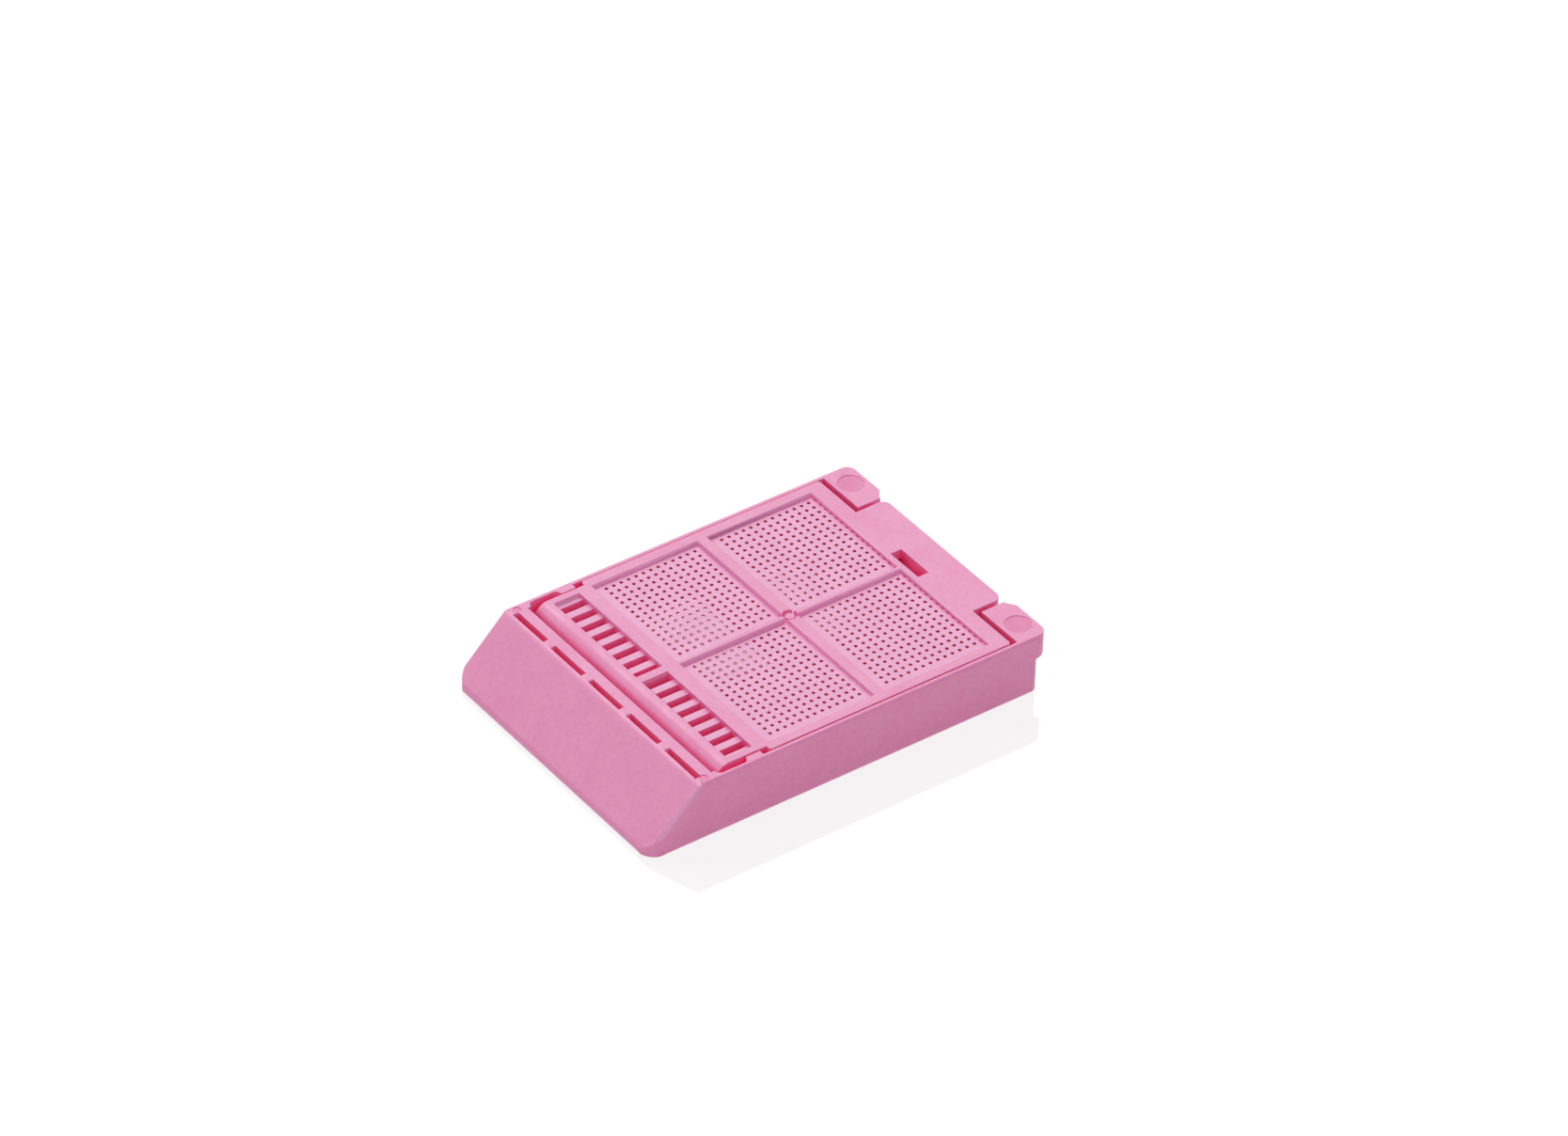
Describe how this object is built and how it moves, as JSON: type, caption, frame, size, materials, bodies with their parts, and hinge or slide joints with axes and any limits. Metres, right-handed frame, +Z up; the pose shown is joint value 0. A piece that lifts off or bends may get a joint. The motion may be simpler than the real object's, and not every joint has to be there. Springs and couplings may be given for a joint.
{
  "type": "tissue cassette",
  "caption": "Flat moulded cassette with a sloped writing face, a slotted hinge end, a hinged mesh lid and a mesh floor, for holding a tissue sample through processing and embedding.",
  "frame": {"origin": "middle of the footprint, on the surface that the cassette stands on", "axes": "+Z up out of the lid, +Y along the cassette from the sloped writing face to the latch end, +X across it"},
  "size_m": [0.0286, 0.0412, 0.0058],
  "materials": {
    "base": "satin",
    "lid": "satin"
  },
  "bodies": {
    "base": {"base": "base"},
    "lid": {"lid": "lid"}
  },
  "joints": [
    {"name": "lid_hinge", "type": "hinge", "parent": "base", "child": "lid", "pos_m": [0, -0.0118, 0.0045], "axis": [1, 0, 0], "range_deg": [0, 105]}
  ]
}
